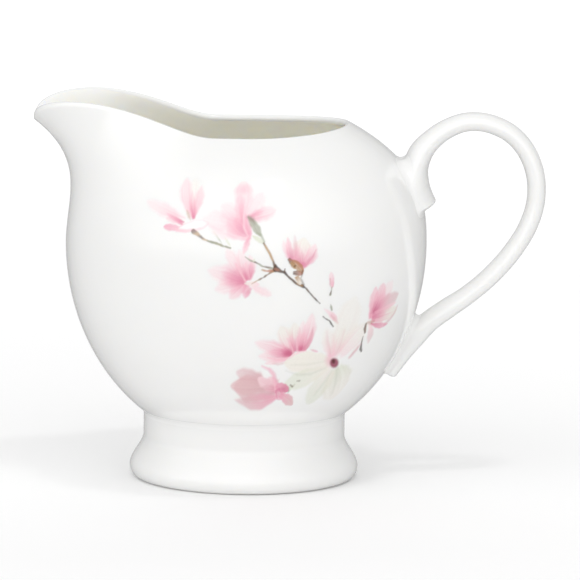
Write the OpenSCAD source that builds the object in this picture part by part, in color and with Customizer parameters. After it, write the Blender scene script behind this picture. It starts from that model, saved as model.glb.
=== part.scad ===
// Porcelain cream jug: a round bowl with a pulled spout, on a flared foot, with a loop handle.
// The pieces are made apart, luted together with slip, decorated, and fired.
// Millimetres. The origin is on the foot's axis at the table; +Z is up, +X points to the handle.

/* [Bowl] */
// Radius of the bowl at its widest
belly_r = 45; // [42:0.5:48]
// Height of the widest part above the table
belly_z = 59; // [57:0.5:61]
// Depth below the belly at which the lower bowl would close
bowl_drop = 51.4; // [50:0.2:54]
// Height at which the bowl stands on its foot
joint_z = 16.5; // [15:0.5:18]
// Wall thickness at the bottom of the bowl
base_wall = 3; // [2.4:0.1:3.4]
// Wall thickness at the lip
lip_wall = 1.8; // [1.4:0.1:2.4]
// How far the floor of the bowl sags into the foot
floor_sag = 4; // [2:0.5:5]

/* [Mouth and spout] */
// Height of the rim at the two sides
rim_side_z = 87.8; // [85:0.5:90]
// Extra height of the rim over the handle
rim_back_rise = 1.4; // [0:0.2:2]
// Radius of the mouth on the handle side
mouth_back_r = 25.6; // [24:0.2:28]
// Half the width of the mouth
mouth_half_w = 26; // [24:0.5:30]
// Distance from the axis to the tip of the spout
spout_reach = 52.8; // [50:0.2:56]
// Height that the rim gains towards the spout
spout_lift = 6.4; // [4:0.2:8]
// Height that the rim loses again at the tip
tip_drop = 5.3; // [3:0.1:6]
// Fullness of the spout in plan: 2 is an ellipse, more is squarer
spout_fullness = 2.2; // [2:0.1:2.6]
// Pull of the shoulder curve under the mouth
shoulder_r = 43.9; // [42:0.1:46]
// Pull of the throat curve under the spout
throat_r = 39.7; // [38:0.1:42]

/* [Foot] */
// How far the foot flares out from its neck
foot_flare = 3.4; // [2:0.1:5]
// Height at which the flare starts
flare_top_z = 10.6; // [9:0.1:12]
// Height of the foot's widest ring
foot_lip_z = 2.6; // [2:0.1:3.5]
// Thickness of the foot's wall
foot_wall = 3; // [2.4:0.1:3.6]
// Width of the flat ring that the jug stands on
contact_w = 1.4; // [1:0.1:2]

/* [Handle] */
// Half the thickness of the handle's arm, seen from the side
arm_half_t = 2.3; // [2:0.1:2.6]
// Half the width of the handle's arm, seen from behind
arm_half_w = 4.5; // [3.6:0.1:5]
// Half the width of the upper root, where it spreads on the bowl
root_half_w = 12; // [9:0.5:13]

/* [Decoration] */
// Thickness of the printed transfer over the glaze
print_t = 0.1; // [0.06:0.02:0.2]
// Size of the printed branch of blossom
print_scale = 1; // [0.7:0.05:1.05]

/* [Hidden] */

// Number of steps round the bowl, up each half of its wall, and across its floor
around = 64;
lower_rows = 8;
upper_rows = 12;
floor_rows = 3;
// Degrees between the rows of the bowl's lip, and of the foot's rounded lip
lip_step = 36;
foot_step = 15;
// Facets of the turned pieces
turned_facets = 96;
// Small step for finding slopes, in rows and in degrees
row_step = 0.01;
angle_step = 1;
// Angles from the spout's centre line at which the rim starts to rise and reaches its crest
rise_angle = 72;
crest_angle = 25;
// Angles from the spout's centre line between which the throat turns into the shoulder
throat_edge = 20;
shoulder_edge = 75;

// How far the foot's neck stands in from the bowl, the radius of the foot's lip, and the bevel
// inside the ring that the jug stands on
neck_inset = 0.1;
foot_lip_r = 2;
contact_bevel = 0.4;
// Radii of the neck, of its bore, and of the ring that the jug stands on
neck_r = belly_r * sqrt(1 - pow((belly_z - joint_z) / bowl_drop, 2)) - neck_inset;
seat_r = neck_r - foot_wall;
contact_r = neck_r + foot_flare - foot_lip_r;

// Thickness of the fired slip in the joints, and how far it stands out of them
slip_t = 0.5;
slip_bead = 0.3;
// Slip patches under the handle's roots: middle height, half width, half height
upper_slip = [73.8, root_half_w + 0.4, 7.6];
lower_slip = [33.4, arm_half_w - 0.2, 8.6];

// The handle's centre line from the upper root, over the loop, to the tail on the lower bowl:
// distance from the axis, height, half thickness, half width, and how far it wraps the bowl
arm = [arm_half_t, arm_half_w, 0];
HANDLE = [
    [44.3, 68.9, 3.1, root_half_w * 0.98, 1],
    [43.3, 70.8, 3.2, root_half_w, 1],
    [42.5, 73.8, 3.0, root_half_w * 0.96, 1],
    [42.0, 77.9, 3.1, root_half_w * 0.78, 0.8],
    [43.1, 81.8, 3.0, root_half_w * 0.58, 0.3],
    concat([45.7, 85.1], arm + [0.3, 0.8, 0]),
    concat([49.6, 88.0], arm + [0.1, 0.2, 0]),
    concat([54.5, 89.8], arm),
    concat([60.0, 89.5], arm),
    concat([65.5, 87.0], arm),
    concat([69.5, 82.6], arm),
    concat([71.8, 76.7], arm),
    concat([72.0, 70.0], arm),
    concat([70.0, 63.4], arm),
    concat([66.1, 57.0], arm),
    concat([61.1, 51.2], arm),
    concat([55.6, 46.4], arm),
    concat([50.6, 42.9], arm + [0.2, 0, 0]),
    concat([46.1, 39.6], arm + [0.3, 0, 0.2]),
    concat([42.4, 36.0], arm + [0.7, -0.2, 0.8]),
    concat([39.3, 31.6], arm + [0.2, -0.5, 1]),
    concat([36.4, 26.7], arm + [-0.4, -1, 1]),
];
ring_sides = 18;
rings_per_span = 2;
// Blunt ends of the handle: how long they are, and their size beside the ring next to them
end_length = 0.8;
end_scale = 0.75;

// Blossoms of the transfer: place across and up from its centre, half width, half height, tilt, lobes
BLOSSOMS = [
    [-17, 25, 8, 7.5, 20, 5],
    [1.5, 24.5, 6.5, 6, 0, 5],
    [-1.5, 9, 6.5, 5.5, 10, 5],
    [13.5, 14.2, 4.6, 4.2, 0, 3],
    [22.4, 7.6, 1.2, 2.2, 0, 0],
    [9.5, -6, 6, 5, 0, 5],
    [24, -14.5, 8.5, 9.5, 0, 6],
    [38.5, 0, 5.5, 6, -20, 3],
    [5.5, -20, 8.5, 5.5, 0, 5],
];
// Stretches of the branch: place, half width, half length, tilt
TWIGS = [
    [-8.2, 16.8, 0.4, 2.4, 68],
    [5.6, 15.4, 0.4, 2.4, 29],
    [11.2, 7.6, 0.6, 3.2, 67],
    [17.2, 3.8, 0.6, 3.2, 46],
    [21.6, -1.6, 0.5, 2.6, 35],
    [22.4, 2.9, 0.4, 2, 0],
    [34.2, -8.2, 0.5, 2.4, -23],
];
// Middle of the transfer: its angle round the bowl and its height
print_angle = -90;
print_z = 48;
// Gap between the transfer and the facets of the bowl, and depth of the blossoms' lobes
print_gap = 0.02;
lobe_depth = 0.2;

function lerp(a, b, t) = a + (b - a) * t;
function smooth(t) = let (u = max(0, min(1, t))) u * u * (3 - 2 * u);
function unit(v) = v / norm(v);
function polar(r, a, z) = [r * cos(a), r * sin(a), z];

// Angle away from the spout's centre line, 0 at the spout and 180 at the handle
function from_spout(a) = abs(180 - (a % 360 + 360) % 360);

function rim_z(a) =
    let (f = from_spout(a))
    rim_side_z
    + rim_back_rise * smooth((f - 90) / 90)
    + spout_lift * smooth((rise_angle - f) / (rise_angle - crest_angle))
    - tip_drop * pow(max(0, 1 - f / crest_angle), 2);

// The mouth in plan: half a circle over the handle and half a long oval over the spout
function mouth_r(a) =
    let (f = from_spout(a),
         reach = f < 90 ? spout_reach : mouth_back_r,
         n = f < 90 ? spout_fullness : 2)
    pow(pow(abs(cos(f)) / reach, n) + pow(sin(f) / mouth_half_w, n), -1 / n);

function pull_r(a) =
    lerp(throat_r, shoulder_r, smooth((from_spout(a) - throat_edge) / (shoulder_edge - throat_edge)));

// Radius of the outside of the bowl: an ellipse below the belly, a cubic curve above it
function side_r(z, a) =
    z <= belly_z
    ? belly_r * sqrt(1 - pow((belly_z - z) / bowl_drop, 2))
    : let (v = (z - belly_z) / (rim_z(a) - belly_z), w = 1 - v)
      belly_r * (w * w * w + 3 * v * w * w) + pull_r(a) * 3 * v * v * w + mouth_r(a) * v * v * v;

// Outside of the bowl: u runs from 0 at the foot through 1 at the belly to 2 at the rim
function level_z(u, a) = u <= 1 ? lerp(joint_z, belly_z, u) : lerp(belly_z, rim_z(a), u - 1);
function skin(u, a) = polar(side_r(level_z(u, a), a), a, level_z(u, a));
function skin_up(u, a) = unit(skin(u + row_step, a) - skin(u - row_step, a));
function skin_normal(u, a) =
    unit(cross(skin(u, a + angle_step) - skin(u, a - angle_step), skin_up(u, a)));
function wall(u) = lerp(base_wall, lip_wall, smooth(u / 2));
function lining(u, a) = skin(u, a) - wall(u) * skin_normal(u, a);

// Half-round lip that joins the outside to the lining
function lip(t, a) =
    let (n = skin_normal(2, a))
    skin(2, a) + lip_wall / 2 * (n * (cos(t) - 1) + skin_up(2, a) * sin(t));

// Shallow dish: t runs from 0 at its middle, dip below the edge, to 1 at radius r and height z
function sag(t, r, z, dip, a) = polar(r * t, a, z - dip * (1 - t * t));

// Closed surface through rings of points, from one end point to the other
module loft(first, rings, last) {
    n = len(rings[0]);
    rows = len(rings);
    end = 1 + rows * n;
    at = function (i, j) 1 + i * n + j % n;
    polyhedron(
        points = concat([first], [for (ring = rings) each ring], [last]),
        faces = concat(
            [for (j = [0 : n - 1]) [0, at(0, j), at(0, j + 1)]],
            [for (i = [0 : rows - 2], j = [0 : n - 1]) each [
                [at(i, j), at(i + 1, j), at(i + 1, j + 1)],
                [at(i, j), at(i + 1, j + 1), at(i, j + 1)]]],
            [for (j = [0 : n - 1]) [at(rows - 1, j), end, at(rows - 1, j + 1)]]));
}

// Thin closed patch that follows the bowl, between two distances from its surface.
// Its outline is an oval with lobes, tilted, given across and up from an angle and a height.
module patch(angle, z, half_w, half_h, tilt, lobes, low, high) {
    steps = 30;
    rings = 3;
    place = function (rho, t, lift)
        let (q = rho * (lobes == 0 ? 1 : 1 - lobe_depth * (1 - cos(lobes * t))),
             across = q * half_w * cos(t),
             up = q * half_h * sin(t),
             pz = z + across * sin(tilt) + up * cos(tilt),
             a = angle + (across * cos(tilt) - up * sin(tilt)) / belly_r * 180 / PI)
        polar(side_r(pz, a) + lift, a, pz);
    ring = function (rho, lift) [for (k = [steps : -1 : 1]) place(rho, k * 360 / steps, lift)];
    loft(place(0, 0, high),
         concat([for (k = [1 : rings]) ring(k / rings, high)],
                [for (k = [rings : -1 : 1]) ring(k / rings, low)]),
         place(0, 0, low));
}

module body() {
    turn = function (f) [for (j = [0 : around - 1]) f(j * 360 / around)];
    corner = lining(0, 0);
    dip = corner.z - (joint_z - floor_sag + base_wall);
    color("whitesmoke")
        loft([0, 0, joint_z - floor_sag],
             concat(
                [for (k = [1 : floor_rows]) turn(function (a)
                    sag(k / floor_rows, seat_r, joint_z, floor_sag, a))],
                [for (k = [0 : lower_rows]) turn(function (a) skin(k / lower_rows, a))],
                [for (k = [1 : upper_rows]) turn(function (a) skin(1 + k / upper_rows, a))],
                [for (t = [lip_step : lip_step : 180 - lip_step]) turn(function (a) lip(t, a))],
                [for (k = [upper_rows : -1 : 1]) turn(function (a) lining(1 + k / upper_rows, a))],
                [for (k = [lower_rows : -1 : 0]) turn(function (a) lining(k / lower_rows, a))],
                [for (k = [floor_rows : -1 : 1]) turn(function (a)
                    sag(k / (floor_rows + 1), norm([corner.x, corner.y]), corner.z, dip, a))]),
             [0, 0, corner.z - dip]);
}

// Hollow foot: a straight neck that flares to a rounded lip over a flat contact ring
module foot() {
    top_z = joint_z - slip_t;
    steps = 10;
    flare = function (z) smooth((flare_top_z - z) / (flare_top_z - foot_lip_z));
    outside = [for (k = [0 : steps])
        let (z = lerp(flare_top_z, foot_lip_z, k / steps)) [neck_r + foot_flare * flare(z), z]];
    under_lip = [for (t = [foot_step : foot_step : 90])
        [contact_r + foot_lip_r * cos(t), foot_lip_z * (1 - sin(t))]];
    inside = [for (k = [steps : -1 : 0])
        let (z = lerp(flare_top_z, foot_lip_z / 2, k / steps))
        [seat_r + (contact_r - contact_w - contact_bevel - seat_r) * flare(z), z]];
    color("white")
        rotate_extrude($fn = turned_facets)
            polygon(concat([[neck_r, top_z]], outside, under_lip,
                           [[contact_r - contact_w, 0]], inside, [[seat_r, top_z]]));
}

// Fired slip between the foot and the bowl, squeezed out a little at the crease
module foot_slip_joint() {
    color("ghostwhite")
        rotate_extrude($fn = turned_facets)
            polygon([[seat_r, joint_z - slip_t], [neck_r, joint_z - slip_t],
                     [neck_r + slip_bead, joint_z - slip_t / 2], [neck_r + slip_bead, joint_z],
                     [seat_r, joint_z]]);
}

// A point moved out of the bowl, onto the slip that covers it
function clear_of_bowl(p) =
    let (a = atan2(p.y, p.x), need = side_r(p.z, a) + slip_t)
    norm([p.x, p.y]) < need ? polar(need, a, p.z) : p;

// Smooth curve through the handle's stations; s counts stations
function station(s) =
    let (n = len(HANDLE) - 1,
         i = min(floor(s), n - 1),
         t = s - i,
         p0 = HANDLE[max(i - 1, 0)], p1 = HANDLE[i],
         p2 = HANDLE[i + 1], p3 = HANDLE[min(i + 2, n)])
    p1 + t * ((p2 - p0) / 2 + t * (p0 - 2.5 * p1 + 2 * p2 - 0.5 * p3
        + t * (1.5 * (p1 - p2) + (p3 - p0) / 2)));

function along(s) =
    let (d = station(min(s + 0.01, len(HANDLE) - 1)) - station(max(s - 0.01, 0)))
    unit([d.x, 0, d.y]);

// Oval ring round the handle's centre line, shrunk by grow and slid along by slide at the ends
function handle_ring(s, grow, slide) =
    let (c = station(s), way = along(s), inward = cross([0, 1, 0], way))
    [for (k = [0 : ring_sides - 1])
        let (q = k * 360 / ring_sides,
             side = grow * c[3] * sin(q),
             p = [c.x, side, c.y] + way * slide + inward * grow * c[2] * cos(q))
        clear_of_bowl(p - [c[4] * side * side / (2 * belly_r), 0, 0])];

module handle() {
    last = len(HANDLE) - 1;
    spans = last * rings_per_span;
    rings = concat([handle_ring(0, end_scale, -end_length)],
                   [for (k = [0 : spans]) handle_ring(k / rings_per_span, 1, 0)],
                   [handle_ring(last, end_scale, end_length)]);
    middle = function (ring) [for (sum = ring) 1] * ring / len(ring);
    color("white")
        loft(middle(rings[0]), rings, middle(rings[len(rings) - 1]));
}

module upper_handle_slip_joint() {
    color("ghostwhite")
        patch(0, upper_slip[0], upper_slip[1], upper_slip[2], 0, 0, 0, slip_t);
}

module lower_handle_slip_joint() {
    color("ghostwhite")
        patch(0, lower_slip[0], lower_slip[1], lower_slip[2], 0, 0, 0, slip_t);
}

// Printed branch of blossom, fired onto the glaze
module floral_transfer() {
    place = function (x) print_angle + print_scale * x / belly_r * 180 / PI;
    color("pink")
        for (b = BLOSSOMS)
            patch(place(b[0]), print_z + print_scale * b[1], print_scale * b[2], print_scale * b[3],
                  b[4], b[5], print_gap, print_gap + print_t);
    color("rosybrown")
        for (t = TWIGS)
            patch(place(t[0]), print_z + print_scale * t[1], print_scale * t[2], print_scale * t[3],
                  t[4], 0, print_gap, print_gap + print_t);
}

body();
foot();
foot_slip_joint();
handle();
upper_handle_slip_joint();
lower_handle_slip_joint();
floral_transfer();
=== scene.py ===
"""Porcelain cream jug: glazed pieces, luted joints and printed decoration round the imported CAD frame.

The frame is the CAD's: origin on the foot's axis at the table, +X to the handle, -X to the spout,
the printed side at -Y, +Z up. Shapes are worked out in millimetres, and loft() scales them by MM.
Angles round the jug are in degrees from the handle.
"""
import math

import bpy
import numpy as np
from mathutils import Matrix, Vector
from mathutils.bvhtree import BVHTree


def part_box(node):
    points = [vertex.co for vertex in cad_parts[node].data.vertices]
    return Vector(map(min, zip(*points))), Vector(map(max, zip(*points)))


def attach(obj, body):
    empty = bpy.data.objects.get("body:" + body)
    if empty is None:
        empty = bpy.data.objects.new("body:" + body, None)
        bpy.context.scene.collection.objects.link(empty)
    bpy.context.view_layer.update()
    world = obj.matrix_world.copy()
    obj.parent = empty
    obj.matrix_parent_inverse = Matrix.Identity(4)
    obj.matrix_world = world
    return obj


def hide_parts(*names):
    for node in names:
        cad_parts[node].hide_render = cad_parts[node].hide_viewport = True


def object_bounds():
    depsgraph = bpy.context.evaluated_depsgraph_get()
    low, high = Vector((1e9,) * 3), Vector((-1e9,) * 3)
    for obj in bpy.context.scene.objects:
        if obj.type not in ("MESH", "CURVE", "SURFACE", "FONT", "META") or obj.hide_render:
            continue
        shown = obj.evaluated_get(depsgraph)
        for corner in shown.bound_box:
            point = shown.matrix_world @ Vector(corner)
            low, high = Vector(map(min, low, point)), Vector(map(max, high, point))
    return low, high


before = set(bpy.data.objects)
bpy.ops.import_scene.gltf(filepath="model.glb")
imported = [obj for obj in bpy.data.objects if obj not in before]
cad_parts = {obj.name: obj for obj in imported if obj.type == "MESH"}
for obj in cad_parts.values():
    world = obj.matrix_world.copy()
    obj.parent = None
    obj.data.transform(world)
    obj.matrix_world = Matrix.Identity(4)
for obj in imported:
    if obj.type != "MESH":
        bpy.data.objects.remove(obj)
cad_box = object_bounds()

MM = 0.001
BODY = "root"


def node_box(node):
    """Lowest and highest corner of a CAD node, in millimetres."""
    return [np.array(corner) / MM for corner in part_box(node)]


# ---------------- sizes, as in the CAD model

BODY_LOW, BODY_HIGH = node_box("body")
FOOT_HIGH = node_box("foot")[1]

BELLY_R = BODY_HIGH[1]
BELLY_Z = 59
BOWL_DROP = 51.4
SLIP_T = 0.5
JOINT_Z = FOOT_HIGH[2] + SLIP_T
BASE_WALL = 3
LIP_WALL = 1.8
FLOOR_SAG = JOINT_Z - BODY_LOW[2]

RIM_SIDE_Z = 87.8
RIM_BACK_RISE = 1.4
MOUTH_BACK_R = 25.6
MOUTH_HALF_W = 26
SPOUT_REACH = 52.8
SPOUT_LIFT = 6.4
TIP_DROP = 5.3
SPOUT_FULLNESS = 2.2
SHOULDER_R = 43.9
THROAT_R = 39.7
RISE_ANGLE, CREST_ANGLE = 72, 25
THROAT_EDGE, SHOULDER_EDGE = 20, 75

FOOT_FLARE = 3.4
FLARE_TOP_Z = 10.6
FOOT_LIP_Z = 2.6
FOOT_WALL = 3
LIP_ROUND = 2
CONTACT_W = 1.4
NECK_INSET = 0.1
NECK_R = BELLY_R * math.sqrt(1 - ((BELLY_Z - JOINT_Z) / BOWL_DROP) ** 2) - NECK_INSET
SEAT_R = NECK_R - FOOT_WALL
CONTACT_R = NECK_R + FOOT_FLARE - LIP_ROUND

# The handle's centre line: distance from the axis, height, half thickness, half width, wrap
ARM_T, ARM_W, ROOT_W = 2.3, 4.5, 12
HANDLE = np.array([
    (44.3, 68.9, 3.1, ROOT_W * 0.98, 1),
    (43.3, 70.8, 3.2, ROOT_W, 1),
    (42.5, 73.8, 3.0, ROOT_W * 0.96, 1),
    (42.0, 77.9, 3.1, ROOT_W * 0.78, 0.8),
    (43.1, 81.8, 3.0, ROOT_W * 0.58, 0.3),
    (45.7, 85.1, ARM_T + 0.3, ARM_W + 0.8, 0),
    (49.6, 88.0, ARM_T + 0.1, ARM_W + 0.2, 0),
    (54.5, 89.8, ARM_T, ARM_W, 0),
    (60.0, 89.5, ARM_T, ARM_W, 0),
    (65.5, 87.0, ARM_T, ARM_W, 0),
    (69.5, 82.6, ARM_T, ARM_W, 0),
    (71.8, 76.7, ARM_T, ARM_W, 0),
    (72.0, 70.0, ARM_T, ARM_W, 0),
    (70.0, 63.4, ARM_T, ARM_W, 0),
    (66.1, 57.0, ARM_T, ARM_W, 0),
    (61.1, 51.2, ARM_T, ARM_W, 0),
    (55.6, 46.4, ARM_T, ARM_W, 0),
    (50.6, 42.9, ARM_T + 0.2, ARM_W, 0),
    (46.1, 39.6, ARM_T + 0.3, ARM_W, 0.2),
    (42.4, 36.0, ARM_T + 0.7, ARM_W - 0.2, 0.8),
    (39.3, 31.6, ARM_T + 0.2, ARM_W - 0.5, 1),
    (36.4, 26.7, ARM_T - 0.4, ARM_W - 1, 1),
])
BLUNT_END = 0.8

# Height of the middle of each root, and its bead of slip: radius, gain upwards, gain sideways
UPPER_ROOT_Z, UPPER_BEAD = 74.5, (1.3, 0.2, 1.4)
LOWER_ROOT_Z, LOWER_BEAD = 33.5, (0.9, 0, 0)
FOOT_BEAD_OUT, FOOT_BEAD_IN = 1.9, 1.8

TURNED_FACETS = 240


# ---------------- curves of the bowl

def lerp(a, b, t):
    return a + (b - a) * t


def smooth(t):
    u = np.clip(t, 0, 1)
    return u * u * (3 - 2 * u)


def unit(v):
    return v / np.linalg.norm(v, axis=-1, keepdims=True)


def polar(r, a, z):
    r, a, z = np.broadcast_arrays(r, np.radians(a), z)
    return np.stack([r * np.cos(a), r * np.sin(a), z], -1).astype(float)


def from_spout(a):
    return np.abs(180 - np.mod(a, 360))


def rim_z(a):
    f = from_spout(a)
    return (RIM_SIDE_Z
            + RIM_BACK_RISE * smooth((f - 90) / 90)
            + SPOUT_LIFT * smooth((RISE_ANGLE - f) / (RISE_ANGLE - CREST_ANGLE))
            - TIP_DROP * np.maximum(0, 1 - f / CREST_ANGLE) ** 2)


def mouth_r(a):
    """The mouth in plan: half a circle over the handle, half a long oval over the spout."""
    f = from_spout(a)
    reach = np.where(f < 90, SPOUT_REACH, MOUTH_BACK_R)
    n = np.where(f < 90, SPOUT_FULLNESS, 2)
    along, across = np.abs(np.cos(np.radians(f))), np.sin(np.radians(f))
    return ((along / reach) ** n + (across / MOUTH_HALF_W) ** n) ** (-1 / n)


def pull_r(a):
    return lerp(THROAT_R, SHOULDER_R, smooth((from_spout(a) - THROAT_EDGE) / (SHOULDER_EDGE - THROAT_EDGE)))


def side_r(z, a):
    """Radius of the outside of the bowl: an ellipse below the belly, a cubic curve above it."""
    below = BELLY_R * np.sqrt(1 - ((BELLY_Z - np.minimum(z, BELLY_Z)) / BOWL_DROP) ** 2)
    v = (np.maximum(z, BELLY_Z) - BELLY_Z) / (rim_z(a) - BELLY_Z)
    w = 1 - v
    above = BELLY_R * (w ** 3 + 3 * v * w * w) + pull_r(a) * 3 * v * v * w + mouth_r(a) * v ** 3
    return np.where(z <= BELLY_Z, below, above)


def skin(u, a):
    """Outside of the bowl: u is 0 at the foot, 1 at the belly and 2 at the rim."""
    u, a = np.broadcast_arrays(np.asarray(u, float), np.asarray(a, float))
    z = np.where(u <= 1, lerp(JOINT_Z, BELLY_Z, u), lerp(BELLY_Z, rim_z(a), u - 1))
    return polar(side_r(z, a), a, z)


def skin_up(u, a):
    return unit(skin(u + 0.005, a) - skin(u - 0.005, a))


def skin_normal(u, a):
    return unit(np.cross(skin(u, a + 0.5) - skin(u, a - 0.5), skin_up(u, a)))


def lining(u, a):
    """Inside of the bowl, one wall thickness in from the skin."""
    wall = lerp(BASE_WALL, LIP_WALL, smooth(u / 2))
    return skin(u, a) - np.asarray(wall)[..., None] * skin_normal(u, a)


def lip(t, a):
    """Half-round lip: t runs from 0 at the outside to 180 at the lining."""
    t, a = np.broadcast_arrays(np.radians(t), a)
    across = skin_normal(2.0, a) * (np.cos(t) - 1)[..., None]
    return skin(2.0, a) + LIP_WALL / 2 * (across + skin_up(2.0, a) * np.sin(t)[..., None])


def height_over_bowl(p):
    """Distance of points from the bowl's outside, and the outward direction there."""
    a = np.degrees(np.arctan2(p[..., 1], p[..., 0]))
    z = p[..., 2]
    r = side_r(z, a)
    slope = (side_r(z + 0.05, a) - side_r(z - 0.05, a)) / 0.1
    out = unit(polar(1.0, a, 0.0) - slope[..., None] * np.array([0.0, 0, 1]))
    return (np.hypot(p[..., 0], p[..., 1]) - r) / np.sqrt(1 + slope ** 2), out


# ---------------- meshes

def new_piece(name, points, faces, material):
    """A smooth-shaded object in the scene, from points in millimetres."""
    mesh = bpy.data.meshes.new(name)
    mesh.from_pydata((points * MM).tolist(), [], faces)
    mesh.shade_smooth()
    mesh.materials.append(material)
    piece = bpy.data.objects.new(name, mesh)
    bpy.context.scene.collection.objects.link(piece)
    return piece


def sheet(rings, first=None, last=None, loop=False):
    """Points and faces of a surface through rings, closed at end points or into a loop."""
    rings = np.asarray(rings, float)
    rows, n = rings.shape[:2]
    points = rings.reshape(-1, 3)
    at = np.arange(rows * n).reshape(rows, n)
    upper = np.roll(at, -1, 0) if loop else at[1:]
    lower = at if loop else at[:-1]
    quads = np.stack([lower, np.roll(lower, -1, 1), np.roll(upper, -1, 1), upper], -1)
    faces = quads.reshape(-1, 4).tolist()
    for end, ring, flip in ((first, at[0].tolist(), False), (last, at[-1].tolist(), True)):
        if end is None:
            continue
        points = np.vstack([points, end])
        tip = len(points) - 1
        faces += [(tip, j, k) if flip else (tip, k, j) for j, k in zip(ring, ring[1:] + ring[:1])]
    return points, faces


def loft(name, rings, material, first=None, last=None, loop=False):
    return new_piece(name, *sheet(rings, first, last, loop), material)


def turned(profile):
    """Rings of a profile of (radius, height) turned round the jug's axis."""
    profile = np.asarray(profile, float)
    a = np.arange(TURNED_FACETS) * 360 / TURNED_FACETS
    return polar(profile[:, :1], a[None], profile[:, 1:])


def add_piece(piece, node):
    """Put a piece on the jug's one body, in place of a CAD node."""
    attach(piece, BODY)
    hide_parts(node)


def underside(r):
    """Height of the bowl's underside, which sags into the hollow foot, at a distance from the axis."""
    return JOINT_Z - FLOOR_SAG * (1 - (r / SEAT_R) ** 2)


def make_body(glazed, inner):
    """The bowl as one closed surface: underside, outside, lip, lining and floor."""
    lower, upper = 48, 80
    a = (np.arange(TURNED_FACETS) * 360 / TURNED_FACETS)[None]
    outside = skin(np.concatenate([np.arange(lower) / lower, 1 + np.arange(upper + 1) / upper])[:, None], a)
    rim = lip(np.linspace(0, 180, 14)[1:-1, None], a)
    floor_edge = 0.14
    inside = lining(np.linspace(2, floor_edge, lower + upper)[:, None], a)

    # The floor curves in from the lining to the middle without a corner
    edge = lining(np.array([floor_edge, floor_edge + 0.02]), np.zeros(2))
    edge_r, edge_z = edge[0, 0], edge[0, 2]
    down = unit(edge[0] - edge[1])
    middle_z = JOINT_Z - FLOOR_SAG + BASE_WALL
    knee_share, flat_share = 0.75, 0.4
    reach = (edge_z - middle_z) / -down[2] * knee_share
    knee_r, knee_z = edge_r + down[0] * reach, edge_z + down[2] * reach
    t = np.linspace(0, 1, 26)[1:-1]
    floor = (np.outer((1 - t) ** 3, (edge_r, edge_z))
             + np.outer(3 * t * (1 - t) ** 2, (knee_r, knee_z))
             + np.outer(3 * t * t * (1 - t), (edge_r * flat_share, middle_z))
             + np.outer(t ** 3, (0, middle_z)))

    under_r = SEAT_R * np.linspace(0, 1, 14)[1:]
    under = np.stack([under_r, underside(under_r)], -1)
    rings = np.concatenate([turned(under), outside, rim, inside, turned(floor)])
    piece = loft("porcelain_bowl", rings, glazed, (0, 0, JOINT_Z - FLOOR_SAG), (0, 0, middle_z))

    # Faces are in rows, then the two middles: the underside's and the floor's
    piece.data.materials.append(inner)
    first_inner = (len(under) + len(outside) + len(rim) - 1) * TURNED_FACETS
    quads = (len(rings) - 1) * TURNED_FACETS
    for k, face in enumerate(piece.data.polygons):
        if first_inner <= k < quads or k >= quads + TURNED_FACETS:
            face.material_index = 1
    add_piece(piece, "body")


def flare(z):
    """How far the foot has flared at a height: 0 at its neck, 1 at its lip."""
    return smooth((FLARE_TOP_Z - z) / (FLARE_TOP_Z - FOOT_LIP_Z))


def make_foot(glazed, bare):
    """Hollow foot; the flat ring that it stands on is left unglazed."""
    z = np.linspace(JOINT_Z - SLIP_T, FOOT_LIP_Z, 60)
    outside = np.stack([NECK_R + FOOT_FLARE * flare(z), z], -1)
    t = np.radians(np.linspace(0, 90, 20))[1:]
    under_lip = np.stack([CONTACT_R + LIP_ROUND * np.cos(t), FOOT_LIP_Z * (1 - np.sin(t))], -1)
    ring_in, turn_w, bare_height = CONTACT_R - CONTACT_W, 0.4, 0.12
    z = np.linspace(FOOT_LIP_Z / 2, JOINT_Z - SLIP_T, 50)
    inside = np.stack([SEAT_R + (ring_in - turn_w - SEAT_R) * flare(z), z], -1)
    t = np.radians(np.linspace(0, 90, 8))[:-1]
    turn_in = ring_in - inside[0, 0]
    turn = np.stack([ring_in - turn_in * np.sin(t), FOOT_LIP_Z / 2 * (1 - np.cos(t))], -1)
    profile = np.concatenate([outside, under_lip, turn, inside])[::-1]
    piece = loft("porcelain_foot", turned(profile), glazed, loop=True)
    piece.data.materials.append(bare)
    for face in piece.data.polygons:
        if face.center.z < bare_height * MM:
            face.material_index = 1
    add_piece(piece, "foot")


def fillet(wall_r, curve, radius, side):
    """Concave arc that rounds the corner between an upright wall and a curve of (radius, height).

    side is 1 where the arc lies outside the wall and -1 where it lies inside it.
    """
    centre_r = wall_r + side * radius
    low, high = curve[:, 1].min() - 3 * radius, curve[:, 1].max()
    for _ in range(40):
        z = (low + high) / 2
        clear = np.hypot(curve[:, 0] - centre_r, curve[:, 1] - z).min() > radius
        low, high = (z, high) if clear else (low, z)
    nearest = curve[np.hypot(curve[:, 0] - centre_r, curve[:, 1] - low).argmin()]
    end = math.atan2(nearest[1] - low, nearest[0] - centre_r)
    t = np.linspace(math.pi if side > 0 else 0, end, 14)
    return np.stack([centre_r + radius * np.cos(t), low + radius * np.sin(t)], -1)


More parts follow.
